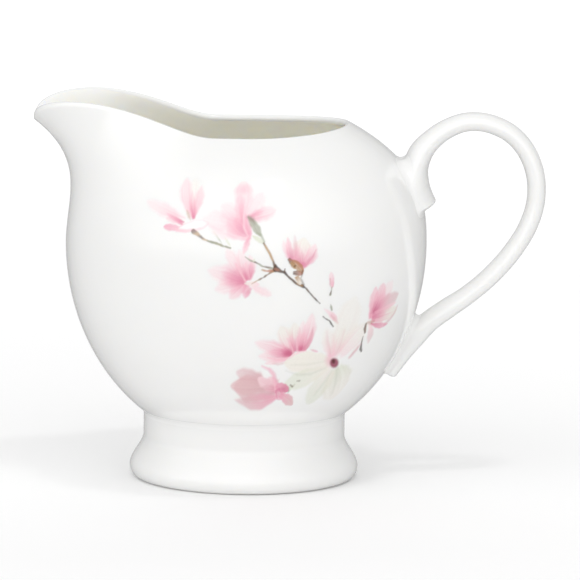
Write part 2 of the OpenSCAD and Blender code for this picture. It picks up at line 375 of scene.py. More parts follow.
def make_foot_joint(material):
    """Fired slip between foot and bowl, with a concave bead in the crease outside and inside."""
    tuck, search_height = 0.12, 12
    z = np.linspace(JOINT_Z, JOINT_Z + search_height, 600)
    outer = fillet(NECK_R, np.stack([side_r(z, 0), z], -1), FOOT_BEAD_OUT, 1)
    r = np.linspace(SEAT_R * 0.6, SEAT_R, 600)
    inner = fillet(SEAT_R, np.stack([r, underside(r)], -1), FOOT_BEAD_IN, -1)
    top, bottom = JOINT_Z + 2 * tuck, JOINT_Z - SLIP_T - tuck
    profile = np.concatenate([
        [(NECK_R - tuck, outer[0, 1] - tuck)], outer, [outer[-1] + (-tuck, tuck), (NECK_R, top)],
        [(SEAT_R, top), inner[-1] + (tuck, tuck)], inner[::-1],
        [(SEAT_R + tuck, inner[0, 1] - tuck), (SEAT_R + tuck, bottom), (NECK_R - tuck, bottom)]])
    piece = loft("foot_slip_fillet", turned(profile), material, loop=True)
    add_piece(piece, "foot_slip_joint")


# ---------------- handle

HANDLE_SIDES = 64
ROWS_PER_STATION = 16
FILLET_AROUND = 160
FILLET_SEARCH = 22


def station(s):
    """Smooth curve through the handle's stations; s counts stations."""
    last = len(HANDLE) - 1
    i = np.clip(np.floor(s).astype(int), 0, last - 1)
    t = (s - i)[..., None]
    p0, p1, p2, p3 = (HANDLE[np.clip(i + k, 0, last)] for k in (-1, 0, 1, 2))
    return p1 + t * ((p2 - p0) / 2 + t * (p0 - 2.5 * p1 + 2 * p2 - p3 / 2
                     + t * (1.5 * (p1 - p2) + (p3 - p0) / 2)))


def handle_rings(s, grow, slide):
    """Oval rings round the centre line, shrunk by grow and slid along it by slide."""
    step = 0.01
    last = len(HANDLE) - 1
    c = station(s)
    d = station(np.minimum(s + step, last)) - station(np.maximum(s - step, 0))
    way = unit(np.stack([d[:, 0], 0 * d[:, 0], d[:, 1]], -1))
    inward = np.cross([0.0, 1, 0], way)
    q = np.radians(np.arange(HANDLE_SIDES) * 360 / HANDLE_SIDES)[None]
    side = (grow * c[:, 3])[:, None] * np.sin(q)
    deep = (grow * c[:, 2])[:, None] * np.cos(q)
    middle = np.stack([c[:, 0], 0 * c[:, 0], c[:, 1]], -1) + way * slide[:, None]
    p = middle[:, None] + inward[:, None] * deep[..., None]
    p[..., 0] -= c[:, 4][:, None] * side ** 2 / (2 * BELLY_R)
    p[..., 1] = side
    return p


def handle_rows():
    """Place along the handle, size and slide of each ring, with both ends rounded off."""
    last = len(HANDLE) - 1
    s = np.linspace(0, last, last * ROWS_PER_STATION + 1)
    t = np.radians(np.linspace(0, 84, 12))[1:]
    shrink, push = np.cos(t) ** 0.7, BLUNT_END * np.sin(t)
    return (np.concatenate([0 * t, s, last + 0 * t]),
            np.concatenate([shrink[::-1], np.ones_like(s), shrink]),
            np.concatenate([-push[::-1], np.zeros_like(s), push]))


def bedded(p, depth=0.25):
    """Points under the bowl's surface, raised to lie just inside it."""
    over, out = height_over_bowl(p)
    return p + out * np.maximum(0, -depth - over)[..., None]


def make_handle(material):
    """The handle; returns the search tree over its surface, for the slip round its roots."""
    rings = handle_rings(*handle_rows())
    ends = rings[0].mean(0), rings[-1].mean(0)
    piece = loft("porcelain_handle", bedded(rings), material, *ends)
    add_piece(piece, "handle")
    points, faces = sheet(rings, *ends)
    return BVHTree.FromPolygons(points.tolist(), faces)


def rolled_ball(surface, middle_z, radii, ways):
    """Centres of balls that touch both the bowl and the handle, one for each way out from a root."""
    def centres(reach):
        a = np.degrees(reach * ways[:, 0] / BELLY_R)
        z = middle_z + reach * ways[:, 1]
        foot = polar(side_r(z, a), a, z)
        return foot, foot + height_over_bowl(foot)[1] * radii[:, None]

    def gap(centre):
        near, normal, _, distance = surface.find_nearest(Vector(centre))
        return math.copysign(distance, (Vector(centre) - near).dot(normal))

    low, high = np.zeros(len(ways)), np.full(len(ways), FILLET_SEARCH)
    for _ in range(20):
        reach = (low + high) / 2
        touching = np.array([gap(c) for c in centres(reach)[1]]) < radii
        low, high = np.where(touching, reach, low), np.where(touching, high, reach)
    foot, centre = centres(high)
    wall = np.array([surface.find_nearest(Vector(c))[0] for c in centre])
    return foot, centre, wall


def make_handle_joint(name, surface, middle_z, bead, material, node):
    """Fired slip round a root: the hollow that a ball leaves when it is rolled along the joint.

    bead is the ball's radius, what it gains above the root and loses below, and its gain at the sides.
    """
    turn = np.radians(np.arange(FILLET_AROUND) * 360 / FILLET_AROUND)
    ways = np.stack([np.cos(turn), np.sin(turn)], -1)
    radii = bead[0] + bead[1] * ways[:, 1] + bead[2] * ways[:, 0] ** 2
    foot, centre, wall = rolled_ball(surface, middle_z, radii, ways)
    down, aside = unit(foot - centre), unit(wall - centre)
    lean = (down * aside).sum(-1, keepdims=True)
    angle = np.arccos(np.clip(lean, -1, 1))
    from_wall, from_bowl = -unit(aside - lean * down), -unit(down - lean * aside)
    tuck, sink, deepest = 0.15, 0.05, 2.5
    inmost = np.minimum(radii[:, None] / np.cos(angle / 2) + tuck, deepest * radii[:, None])
    rows = [centre + inmost * unit(down + aside), foot + tuck * from_wall + sink * down]
    for t in np.linspace(0, 1, 14):
        spoke = (np.sin((1 - t) * angle) * down + np.sin(t * angle) * aside) / np.sin(angle)
        rows.append(centre + radii[:, None] * spoke)
    rows.append(wall + tuck * from_bowl + sink * aside)
    add_piece(loft(name, np.stack(rows), material, loop=True), node)


# ---------------- printed decoration

def tone(r, g, b):
    """Linear light from a display colour."""
    c = (np.array([r, g, b], float) / 255 + 0.055) / 1.055
    return c ** 2.4


WHITE = tone(245, 245, 244)
CREAM = tone(240, 236, 226)
BLUSH = tone(248, 218, 223)
PALE = tone(245, 197, 208)
ROSE = tone(237, 168, 189)
DEEP = tone(220, 126, 157)
CERISE = tone(203, 96, 132)
DUSTY = tone(223, 182, 187)
FADED = tone(226, 188, 190)
GREEN = tone(160, 165, 142)
LEAF = tone(219, 225, 204)
OCHRE = tone(184, 146, 100)
RUST = tone(186, 124, 98)
BROWN = tone(98, 72, 54)
DARK = tone(64, 50, 46)
MAROON = tone(150, 62, 88)
WINE = tone(92, 34, 40)

TWIG_WEIGHT = 1.15
VEIN_TINT = np.array([0.4, 1, 0.8])


class Artwork:
    """Colour painted on points of the bowl, premultiplied by how much of the porcelain it covers."""

    def __init__(self, u, z):
        self.u, self.z = u, z
        self.colour = np.zeros(u.shape + (3,))
        self.cover = np.zeros(u.shape)

    def window(self, points, margin):
        """The part of the sheet within a margin of some points, and its coordinates."""
        points = np.array(points, float)
        (left, low), (right, high) = points.min(0) - margin, points.max(0) + margin
        cols = slice(*np.searchsorted(self.u[0], [left, right]))
        rows = slice(*np.searchsorted(self.z[:, 0], [low, high]))
        return (rows, cols), self.u[rows, cols], self.z[rows, cols]

    def lay(self, part, colour, cover):
        """Paint over part of the sheet."""
        self.colour[part] += (colour - self.colour[part]) * cover[..., None]
        self.cover[part] += cover * (1 - self.cover[part])

    def petal(self, base, tip, half_w, inner, outer, cover=(0.9, 0.6), soft=0.6, bend=0.0,
              widest=0.55, veins=0.45, blunt=0.6, root=0.6, seed=0):
        """A petal or leaf, shaded from inner to outer colour and from the first cover to the second.

        soft is the width over which its edge fades, bend bows it sideways, widest is where along it
        it is widest, a small blunt gives a full tip, root is the width of its base as a share of
        half_w, and seed moves its veins and its ragged edge.
        """
        base, tip = np.array(base, float), np.array(tip, float)
        length = np.hypot(*(tip - base))
        way = (tip - base) / length
        part, u, z = self.window([base, tip], half_w + abs(bend) + 1)
        du, dz = u - base[0], z - base[1]
        s = (du * way[0] + dz * way[1]) / length
        across = dz * way[0] - du * way[1] - bend * 4 * s * (1 - s)
        k = np.clip(s, 0, 1)
        near = np.clip(k / widest, 0, 1)
        far = np.clip((k - widest) / (1 - widest), 0, 1)
        swell = lerp(root, 1, np.sin(np.pi / 2 * near)) * np.abs(np.cos(np.pi / 2 * far)) ** blunt
        ragged = 1 + 0.05 * np.sin(9 * s + seed) + 0.04 * np.sin(23 * s + 2 * seed)
        edge = half_w * swell * ragged
        inside = np.minimum(edge - np.abs(across), np.minimum(s, 1 - s) * length + 0.3 * soft)
        t = across / np.maximum(edge, 0.2)
        streak = (np.sin(7 * t + seed) + np.sin(13 * t + 3 * seed + s)
                  + np.sin(21 * t + 5 * seed + 2 * s)) / 3
        blend = smooth(k * 1.1 + 0.12 * streak)
        vein = 1 - veins * 0.22 * (0.5 - 0.5 * streak) * (1 - 0.5 * k)
        paint = lerp(inner, outer, blend[..., None]) * vein[..., None] ** VEIN_TINT
        thick = lerp(cover[0], cover[1], smooth(k)) * (1 - 0.25 * veins * (0.5 + 0.5 * streak))
        self.lay(part, paint, thick * smooth(inside / soft))

    def stroke(self, points, widths, colour, cover=0.9, soft=0.25, other=None):
        """A line through points, with widths spread evenly along it, mottled with the other colour."""
        points = np.array(points, float)
        widths = np.interp(np.linspace(0, 1, len(points)), np.linspace(0, 1, len(widths)), widths)
        part, u, z = self.window(points, max(widths) + 1)
        widths = widths * TWIG_WEIGHT
        best = np.full(u.shape, -1e3)
        for i in range(len(points) - 1):
            a, d = points[i], points[i + 1] - points[i]
            t = np.clip(((u - a[0]) * d[0] + (z - a[1]) * d[1]) / (d @ d), 0, 1)
            gap = np.hypot(u - a[0] - t * d[0], z - a[1] - t * d[1])
            best = np.maximum(best, lerp(widths[i], widths[i + 1], t) / 2 - gap)
        rough = 0.05 * np.sin(2.1 * u + 1.7 * z + 2 * np.sin(1.3 * u)) + 0.02 * np.sin(5.3 * u)
        shade = 0.5 + 0.5 * np.sin(1.3 * u - 1.1 * z + 2 * np.sin(0.9 * z))
        other = colour if other is None else other
        paint = lerp(colour, other, shade[..., None])
        self.lay(part, paint, cover * smooth((best + rough + soft) / (2 * soft)))

    def dab(self, centre, radii, turn, colour, cover=0.9, soft=0.5):
        """An oval spot that fades towards its edge."""
        c, s = math.cos(math.radians(turn)), math.sin(math.radians(turn))
        part, u, z = self.window([centre], max(radii))
        du, dz = u - centre[0], z - centre[1]
        r = np.hypot((du * c + dz * s) / radii[0], (dz * c - du * s) / radii[1])
        self.lay(part, colour, cover * smooth((1 - r) / soft))


def paint_spray(art):
    """A magnolia spray: blossoms, bud and twigs, in millimetres across the belly and up the jug."""
    petal, stroke, dab = art.petal, art.stroke, art.dab

    # Blossom at the upper left
    petal((-13, 70.6), (-14.4, 79.8), 2.4, BLUSH, CREAM, (0.9, 0.35), 1.5, blunt=0.4, root=0.3)
    petal((-13, 70.6), (-17.2, 79.6), 2.1, PALE, BLUSH, (0.9, 0.7), 1.1, bend=0.5, widest=0.65, blunt=0.5,
          seed=1, root=0.3)
    petal((-13, 70.6), (-12.2, 78.2), 1.6, PALE, PALE, (0.9, 0.5), 1.0, bend=-0.4, widest=0.6, seed=2,
          root=0.3)
    petal((-12.9, 70.3), (-14.6, 77), 1.2, DEEP, PALE, (0.95, 0.4), 0.8, seed=3)
    petal((-13, 70.2), (-12.4, 73.4), 0.7, DEEP, ROSE, (0.8, 0.4), seed=3)
    petal((-15, 70.4), (-27, 73.8), 2.1, PALE, BLUSH, (0.85, 0.4), 1.4, widest=0.6, bend=0.2, blunt=0.4,
          seed=4, root=0.3)
    petal((-15.4, 69.4), (-20.6, 70.2), 1.1, PALE, PALE, (0.8, 0.6), 0.7, seed=4, root=0.3)
    petal((-15.2, 69.4), (-20.6, 71.4), 0.8, DEEP, ROSE, (0.95, 0.5), bend=0.2, seed=5)
    petal((-15.4, 68.8), (-18, 70), 0.7, DEEP, ROSE, (0.9, 0.5), seed=5)
    petal((-15.6, 68), (-20.8, 68.1), 1.15, ROSE, ROSE, (0.7, 0.9), widest=0.6, blunt=0.5, seed=6, root=0.3)
    petal((-17.4, 67.4), (-8.6, 69.6), 1.6, PALE, BLUSH, (0.9, 0.7), 0.5, bend=0.1, seed=7, veins=0.1,
          root=0.3)
    petal((-16.6, 67.9), (-9, 69.6), 1.3, WHITE, WHITE, (0.9, 0.95), 0.7, bend=0.2, seed=7, veins=0.05,
          root=0.3)
    petal((-9.6, 69.4), (-3.8, 66.8), 0.9, BLUSH, BLUSH, (0.7, 0.5), 0.8, veins=0.1, root=0.3)
    petal((-13.6, 69.9), (-15.2, 72.6), 0.7, RUST, OCHRE, (0.6, 0.4), root=0.3)
    stroke([(-12.7, 67.4), (-11.6, 66.8), (-10.4, 65.9), (-8.6, 65.2), (-6.8, 64.8), (-5, 64.2),
            (-3.4, 63.8)], [1.0, 0.8, 0.45, 0.35, 0.4, 0.3, 0.25], OCHRE, 0.75, 0.2, other=BROWN)
    stroke([(-9, 65.3), (-6.8, 64.8), (-5, 64.2), (-3.4, 63.8)], [0.25, 0.4, 0.35, 0.2], GREEN, 0.8, 0.2)
    petal((-5.3, 64.6), (-7.9, 68), 0.45, GREEN, LEAF, (0.7, 0.4), 0.4, root=0.3)
    petal((-3.2, 63.9), (-5, 66.6), 0.5, LEAF, LEAF, (0.7, 0.4), 0.4, root=0.3)

    # Blossom at the top
    petal((0, 70), (-0.5, 79.2), 3.1, BLUSH, BLUSH, (0.9, 0.8), 1.5, widest=0.7, blunt=0.4, seed=1,
          root=0.3)
    dab((-0.5, 77.3), (3.0, 1.6), 8, PALE, 0.75, 1.0)
    petal((-1, 69.5), (-11, 70.6), 3.2, BLUSH, BLUSH, (0.8, 0.4), 1.8, seed=2, root=0.3)
    petal((-0.5, 67.2), (-8.4, 67.4), 1.9, BLUSH, BLUSH, (0.8, 0.4), 1.2, seed=3, root=0.3)
    petal((0.5, 70.5), (5, 77), 2.8, BLUSH, BLUSH, (0.8, 0.4), 1.6, seed=4, root=0.3)
    petal((0.2, 69.6), (-6.4, 74), 2.8, PALE, BLUSH, (0.8, 0.5), 1.4, seed=5)
    petal((0.2, 69), (-6.6, 71.4), 2.6, ROSE, BLUSH, (0.6, 0.5), 1.6, seed=6)
    petal((-0.2, 68.8), (-1.4, 76.6), 2.1, PALE, PALE, (0.9, 0.5), 1.2, bend=0.2, seed=7)
    petal((-0.4, 69), (-1.1, 75.4), 1.1, DEEP, ROSE, (0.7, 0.3), 1.0, seed=8)
    dab((-1.4, 68.6), (3.4, 2.8), 0, ROSE, 0.75, 1.0)
    petal((1.2, 66.4), (-4.4, 70.8), 2.9, ROSE, PALE, (0.8, 0.5), 1.4, bend=0.6, root=0.5, seed=9)
    petal((1, 66.8), (-2.8, 71), 2.0, DEEP, ROSE, (0.6, 0.4), 1.4, seed=10)
    petal((1.3, 65.9), (-0.4, 72.4), 1.2, ROSE, ROSE, (0.9, 0.5), 0.7, bend=-0.3, root=0.5, seed=11)
    stroke([(0.9, 66.6), (-0.1, 68.6), (-0.3, 71), (0, 74)], [0.2, 0.4, 0.4, 0.2], BLUSH, 0.7, 0.35)
    stroke([(-4, 67.4), (-1.4, 66.4), (0.9, 66.2)], [0.2, 0.4, 0.3], BLUSH, 0.7, 0.3)
    petal((1.1, 66.6), (-0.3, 62.2), 1.05, ROSE, PALE, (0.9, 0.7), 0.7, root=0.5, seed=12)
    petal((0.8, 70.8), (8.2, 72.9), 2.2, ROSE, BLUSH, (0.8, 0.7), 1.3, bend=-0.1, root=0.5, seed=13)
    petal((1.4, 71.2), (5, 72.8), 1.0, DEEP, ROSE, (0.6, 0.3), 1.0, seed=14)
    petal((0.7, 71.4), (4.2, 66.2), 1.3, GREEN, GREEN, (0.85, 0.85), bend=0.2, blunt=1, veins=0.6, root=0.3)
    stroke([(0.9, 71.2), (1.9, 70.6), (2.4, 69.6)], [0.6, 0.8, 0.3], BROWN, 0.45, 0.5)
    petal((1.8, 66.9), (5, 64.9), 0.8, LEAF, LEAF, (0.9, 0.8), 0.4, root=0.3)
    stroke([(3, 67.4), (4, 67), (4.8, 65.4)], [0.4, 0.5, 0.3], GREEN, 0.7)
    stroke([(4.6, 65), (5.4, 63.8), (6.2, 62.4), (6.9, 60.8), (7.4, 59.4)], [0.4, 0.5, 0.45, 0.5, 0.7],
           BROWN, 0.85, 0.2, other=OCHRE)

    # Blossom at the middle left
    petal((0.5, 56), (-4.6, 64), 2.1, PALE, BLUSH, (0.8, 0.5), 1.3, root=0.5, seed=1)
    petal((0.5, 56), (-1.4, 63.8), 1.9, PALE, BLUSH, (0.8, 0.5), 1.1, root=0.5, seed=2)
    petal((1, 56), (1.3, 62.4), 1.7, ROSE, BLUSH, (0.8, 0.6), 0.9, bend=-0.3, seed=3)
    petal((0.4, 56), (-9.2, 58.4), 3.2, ROSE, BLUSH, (0.8, 0.5), 1.7, widest=0.5, root=0.5, seed=4)
    petal((0.4, 55.8), (-7.4, 53.4), 2.5, ROSE, BLUSH, (0.8, 0.5), 1.4, root=0.5, seed=5)
    petal((0.4, 55.6), (-3.6, 51.3), 2.0, ROSE, PALE, (0.9, 0.5), 1.1, seed=6)
    petal((0.8, 55.4), (0.3, 51.4), 1.3, ROSE, ROSE, (0.8, 0.6), 0.8, seed=7)
    dab((-2.6, 56.6), (3.6, 2.6), 10, ROSE, 0.7, 1.0)
    petal((0.3, 55.8), (-5.8, 58.2), 2.0, DEEP, ROSE, (0.7, 0.3), 1.6, seed=8)
    petal((0.6, 55.6), (-5, 55), 1.3, DEEP, ROSE, (0.7, 0.3), 1.2, seed=9)
    petal((0.6, 55.8), (-2.6, 60.8), 1.2, DEEP, PALE, (0.8, 0.4), 0.9, seed=10)
    petal((1, 56), (1.7, 60.8), 1.2, DEEP, ROSE, (0.8, 0.5), 0.8, bend=-0.2, seed=11)
    petal((0.6, 56), (-0.4, 60.4), 0.8, DEEP, ROSE, (0.8, 0.3), 0.7, seed=12)
    stroke([(0.3, 55.9), (-0.8, 57.8), (-2, 60)], [0.3, 0.4, 0.15], PALE, 0.8)
    stroke([(1.2, 56.6), (0.9, 58.4), (0.3, 60.2)], [0.2, 0.3, 0.15], PALE, 0.6)
    petal((1.6, 54.6), (7, 52.2), 1.5, BLUSH, BLUSH, (0.9, 0.6), 1.0, seed=13, root=0.3)
    petal((0, 55.3), (4, 55), 0.9, CREAM, BLUSH, (0.95, 0.8), 0.5, seed=14, root=0.3)
    petal((1.8, 54.2), (0.3, 51.9), 0.8, DEEP, ROSE, (0.6, 0.6), seed=15)
    stroke([(1.9, 55.2), (3.2, 56), (4.7, 56.8), (6.3, 57.9), (7.2, 58.5)], [0.2, 0.25, 0.3, 0.4, 0.6],
           OCHRE, 0.8, 0.2, other=BROWN)

    # Fork and main branch
    stroke([(0.1, 61.8), (1.4, 60.9), (2.8, 60.4), (4.4, 59.5), (5.6, 59.2), (7.2, 58.9)],
           [0.1, 0.3, 0.25, 0.3, 0.35, 0.5], BROWN, 0.8, 0.18, other=GREEN)
    dab((2.3, 60.9), (0.6, 0.35), 60, LEAF, 0.6)
    stroke([(4.3, 58.6), (5.6, 58.3), (7, 58.4)], [0.3, 0.45, 0.6], OCHRE, 0.8, 0.2, other=RUST)
    stroke([(7.5, 59.6), (7.7, 58.8), (8.8, 58.3), (9.8, 57.9), (10.6, 57), (11.8, 56), (12.8, 55.1),
            (14.4, 54.5), (15.2, 53.9), (16.4, 52.6), (17.6, 51.4), (18.5, 50.6), (19.2, 49.9)],
           [0.7, 1.3, 0.65, 0.6, 0.35, 0.4, 0.55, 0.7, 0.35, 0.35, 0.35, 0.3, 0.2], BROWN, 0.9, 0.18,
           other=DARK)
    dab((7.8, 58.7), (1.0, 0.5), -20, RUST, 0.5)
    stroke([(13, 55.1), (14.3, 54.6)], [0.4, 0.5], OCHRE, 0.6, 0.2)
    stroke([(9.7, 58), (9.9, 58.8)], [0.3, 0.1], BROWN, 0.8, 0.18)

    # Bud on the branch
    petal((11.4, 60.6), (9.4, 66), 1.0, ROSE, BLUSH, (0.9, 0.6), 0.8, bend=0.3, seed=1)
    petal((13.4, 59.8), (14.8, 66.4), 2.8, PALE, CREAM, (0.95, 0.7), 1.0, root=0.5, seed=2)
    petal((14.2, 59), (17.7, 64.8), 1.9, ROSE, BLUSH, (0.9, 0.7), 0.9, bend=-0.5, root=0.4, seed=3)
    petal((13.8, 59), (12.8, 64.6), 1.7, DEEP, PALE, (0.9, 0.4), 1.1, seed=4)
    petal((12, 60.2), (10.5, 66.6), 1.15, DEEP, PALE, (0.9, 0.7), 0.7, bend=0.2, root=0.5, seed=5)
    petal((12.2, 60.2), (12.3, 67.2), 1.0, ROSE, DUSTY, (0.9, 0.4), 0.8, bend=-0.2, seed=6)
    stroke([(14.4, 58.8), (15.6, 60.2), (17, 61.8), (17.7, 63.2)], [0.4, 0.6, 0.5, 0.2], DEEP, 0.6, 0.4)
    dab((14.2, 59.7), (1.3, 0.9), 30, DEEP, 0.7, 0.8)
    petal((10.7, 61.4), (12.6, 58.6), 0.8, BROWN, OCHRE, (0.9, 0.9), 0.4, veins=0.8)
    petal((11.4, 60.6), (14.5, 57.6), 1.15, OCHRE, OCHRE, (0.9, 0.9), 0.4, bend=0.3, veins=0.9)
    stroke([(11, 61), (12.6, 60.6), (13.9, 59.6), (14.4, 58.2)], [0.3, 0.5, 0.45, 0.4], RUST, 0.7)
    dab((12.3, 59.4), (0.5, 0.35), 40, BROWN, 0.6)
    petal((11.8, 57.8), (14.5, 57.5), 0.85, BROWN, RUST, (0.9, 0.9), 0.4, veins=0.9)
    petal((12.7, 57), (14, 54.7), 0.8, OCHRE, CREAM, (0.9, 0.9), 0.4, root=0.8, veins=0.6)
    stroke([(14.3, 58.2), (13.9, 56.4), (14.6, 54.8)], [0.35, 0.3, 0.5], BROWN, 0.6)

    # Small bud and loose twigs
    petal((22.4, 53.7), (21.7, 57.8), 0.95, ROSE, BLUSH, (0.9, 0.7), 0.5, root=0.4, seed=1)
    stroke([(21.6, 56), (21.6, 54.6), (22.1, 53.6)], [0.15, 0.25, 0.3], DUSTY, 0.8, 0.2)
    stroke([(22.2, 53.8), (22.1, 53), (21.9, 52)], [0.3, 0.25, 0.45], GREEN, 0.85, 0.2, other=BROWN)
    stroke([(22.2, 49.6), (22.4, 48.9), (22.7, 48.1)], [0.15, 0.5, 0.3], DARK, 0.75, 0.2, other=GREEN)
    petal((20.4, 48.6), (25.3, 44.5), 1.0, BLUSH, ROSE, (0.6, 0.8), bend=0.2, blunt=1, seed=2, root=0.3)
    stroke([(22.6, 46.8), (24, 45.5), (25, 44.6)], [0.2, 0.5, 0.3], DUSTY, 0.9, 0.3)
    stroke([(20.4, 46.6), (21.2, 46), (22.4, 45.4), (23.1, 44.6), (23.8, 43.8)],
           [0.25, 0.3, 0.3, 0.35, 0.3], DARK, 0.85, 0.18)

    # Large open blossom: its pale petals first
    petal((26, 37), (29.5, 51.5), 5.0, CREAM, CREAM, (0.6, 0.35), 2.2, root=0.5, seed=1)
    petal((27.5, 36), (35, 44), 3.8, BLUSH, CREAM, (0.6, 0.5), 1.8, root=0.5, seed=2)
    petal((25.4, 35.6), (21.4, 44), 2.6, PALE, CREAM, (0.75, 0.3), 1.4, seed=3)
    petal((26.2, 35.6), (27.4, 44), 2.6, PALE, CREAM, (0.6, 0.3), 1.6, seed=4)
    stroke([(24.6, 37), (22.8, 40), (22.2, 42.6)], [0.6, 0.7, 0.3], DUSTY, 0.35, 0.8)
    stroke([(26.6, 36.6), (27.2, 39.4), (27.4, 42.4)], [0.6, 0.5, 0.3], DUSTY, 0.3, 0.8)
    petal((28, 33), (33.5, 23.8), 5.6, LEAF, CREAM, (0.7, 0.55), 1.6, root=0.4, seed=5)
    petal((26.5, 33), (22.5, 22.8), 4.4, CREAM, LEAF, (0.7, 0.5), 1.6, root=0.5, seed=6)
    stroke([(28.4, 32.4), (30, 29), (31, 25.4)], [0.5, 0.7, 0.3], GREEN, 0.22, 0.9)
    stroke([(26.8, 32), (25.6, 29), (24, 25.6)], [0.5, 0.6, 0.3], GREEN, 0.2, 0.8)

    # Fan of petals at the middle
    petal((13, 37.8), (9.2, 44.8), 2.5, PALE, CREAM, (0.95, 0.6), 1.0, root=0.5, seed=1)
    petal((14, 38), (12.8, 45.6), 2.3, ROSE, CREAM, (0.95, 0.6), 1.0, seed=2)
    petal((15.8, 38), (17.4, 47.8), 2.1, ROSE, BLUSH, (0.95, 0.6), 0.9, bend=-0.4, seed=3)
    petal((15, 38), (15.2, 46), 1.6, ROSE, BLUSH, (0.9, 0.5), 0.9, seed=12)
    petal((12.8, 37.4), (2.6, 40.6), 2.3, ROSE, BLUSH, (0.95, 0.6), 1.2, seed=4)
    petal((13, 37), (3.8, 36.8), 2.1, ROSE, BLUSH, (0.95, 0.6), 1.0, seed=5)
    petal((12.4, 36.1), (5.6, 34.8), 1.0, PALE, BLUSH, (0.9, 0.7), seed=6)
    petal((13.4, 37.2), (6.4, 38), 1.8, DEEP, ROSE, (0.9, 0.4), 1.4, seed=7)
    petal((13.9, 37.6), (12, 42.4), 1.3, DEEP, PALE, (0.9, 0.4), 0.9, root=0.7, seed=9)
    petal((14.8, 37.8), (14.6, 43), 1.2, ROSE, PALE, (0.8, 0.4), 0.9, root=0.7, seed=9)
    petal((15.6, 37.6), (15.8, 43.2), 1.6, DEEP, PALE, (0.95, 0.5), 1.0, root=0.7, seed=10)
    petal((16.4, 37.8), (17.9, 44), 0.9, DEEP, ROSE, (0.9, 0.5), bend=-0.6, root=0.7, seed=11)
    petal((13.6, 37), (9.8, 38.8), 1.6, CERISE, DEEP, (0.9, 0.4), 1.3, seed=8)
    dab((15.3, 38.6), (1.6, 1.2), 10, CERISE, 0.6, 1.0)
    dab((11.9, 37.4), (2.2, 1.4), 20, CERISE, 0.6, 1.0)
    stroke([(13.6, 37.4), (12.9, 39), (11.4, 41.4)], [0.25, 0.35, 0.15], PALE, 0.7)
    stroke([(14.5, 37.8), (14.2, 39.6), (14, 41.6)], [0.2, 0.3, 0.15], PALE, 0.65)
    stroke([(6.6, 36.4), (9.6, 35.9), (12.4, 36.2)], [0.1, 0.4, 0.4], PALE, 0.9)
    stroke([(8, 34.9), (9.8, 34.6), (11.8, 35.1)], [0.2, 0.4, 0.2], DUSTY, 0.6, 0.35)
    stroke([(16.8, 38.2), (17.8, 41), (18, 44)], [0.3, 0.4, 0.2], DUSTY, 0.6, 0.3)

    # Large open blossom: front petals and centre
    petal((26, 34.4), (11.2, 35), 3.3, CREAM, CREAM, (0.85, 0.85), 0.8, bend=-0.2, veins=0.15, blunt=0.5,
          seed=7, root=0.3)
    petal((25.6, 33), (11.6, 28.8), 3.0, CREAM, LEAF, (0.8, 0.55), 1.0, bend=0.3, veins=0.2, seed=8,
          root=0.3)
    stroke([(12.2, 32.8), (16, 31.6), (20, 31.6), (24.4, 33)], [0.2, 0.4, 0.4, 0.2], GREEN, 0.22, 0.5)
    stroke([(13.4, 34.4), (18, 34.2), (23.4, 34.8)], [0.2, 0.4, 0.2], GREEN, 0.15, 0.5)
    stroke([(12.4, 36), (13.6, 37), (15, 37.6), (17.2, 37.9)], [0.35, 0.4, 0.35, 0.2], BLUSH, 0.95, 0.2)
    petal((18, 38.3), (20.8, 37.4), 0.5, DUSTY, ROSE, (0.7, 0.6), 0.4, root=0.3)
    dab((25.4, 34.8), (3.4, 2.2), -30, ROSE, 0.65, 1.0)
    dab((26.8, 34.1), (2.3, 1.5), -32, MAROON, 0.95, 0.5)
    dab((26.3, 34.6), (1.3, 0.8), -38, WINE, 0.95, 0.8)

    # Blossom at the right
    petal((36.4, 46), (42.6, 54), 2.8, PALE, BLUSH, (0.8, 0.4), 1.6, seed=1)
    dab((38, 48.4), (3.4, 3.8), 0, PALE, 0.9, 0.9)
    petal((36, 44.6), (35.9, 53), 1.9, ROSE, PALE, (0.95, 0.7), 0.8, bend=0.2, root=0.7, blunt=0.45, seed=2)
    petal((36.4, 45), (38.8, 53.6), 2.6, ROSE, PALE, (0.95, 0.7), 1.1, blunt=0.45, seed=3)
    petal((36.6, 46.4), (46, 50.2), 2.6, ROSE, DUSTY, (0.9, 0.6), 1.1, seed=4)
    petal((36.2, 45.8), (38.8, 51), 2.0, CERISE, ROSE, (0.85, 0.3), 1.4, root=0.7, seed=5)
    petal((36, 44.6), (46.6, 45.9), 2.3, ROSE, CREAM, (0.95, 0.85), 0.7, bend=0.1, root=0.4, seed=6)
    petal((36.6, 46.2), (45.8, 48), 0.8, ROSE, BLUSH, (0.9, 0.8), 0.5, seed=7)
    petal((36, 45), (41.8, 45.8), 1.2, DEEP, ROSE, (0.9, 0.4), 0.9, seed=8)
    stroke([(42, 42.7), (44, 43.7), (45.6, 45.2), (46.2, 46.8)], [0.6, 0.6, 0.5, 0.3], DUSTY, 0.7, 0.5)
    petal((35.8, 43.6), (37.2, 38), 1.5, BLUSH, DUSTY, (0.8, 0.5), 0.9, bend=0.5, seed=9)
    petal((36, 43.6), (43.8, 42.7), 0.95, DEEP, ROSE, (0.9, 0.8), 0.5, bend=-0.5, root=0.5, seed=10)
    stroke([(34.9, 43.9), (35.8, 43.8), (37.2, 44)], [0.6, 0.9, 0.4], RUST, 0.55, 0.4)
    stroke([(34.4, 43.6), (34.3, 42.4), (34.7, 41.4)], [0.5, 0.8, 0.5], BROWN, 0.85, 0.3, other=RUST)
    stroke([(34.4, 40.4), (34.5, 38.6), (34.8, 37.2), (35.5, 36.4)], [0.2, 0.4, 0.8, 0.5], DARK, 0.8)
    stroke([(34.2, 38.3), (33, 36.8), (31.7, 35.2)], [0.3, 0.8, 0.6], DUSTY, 0.8, 0.5)

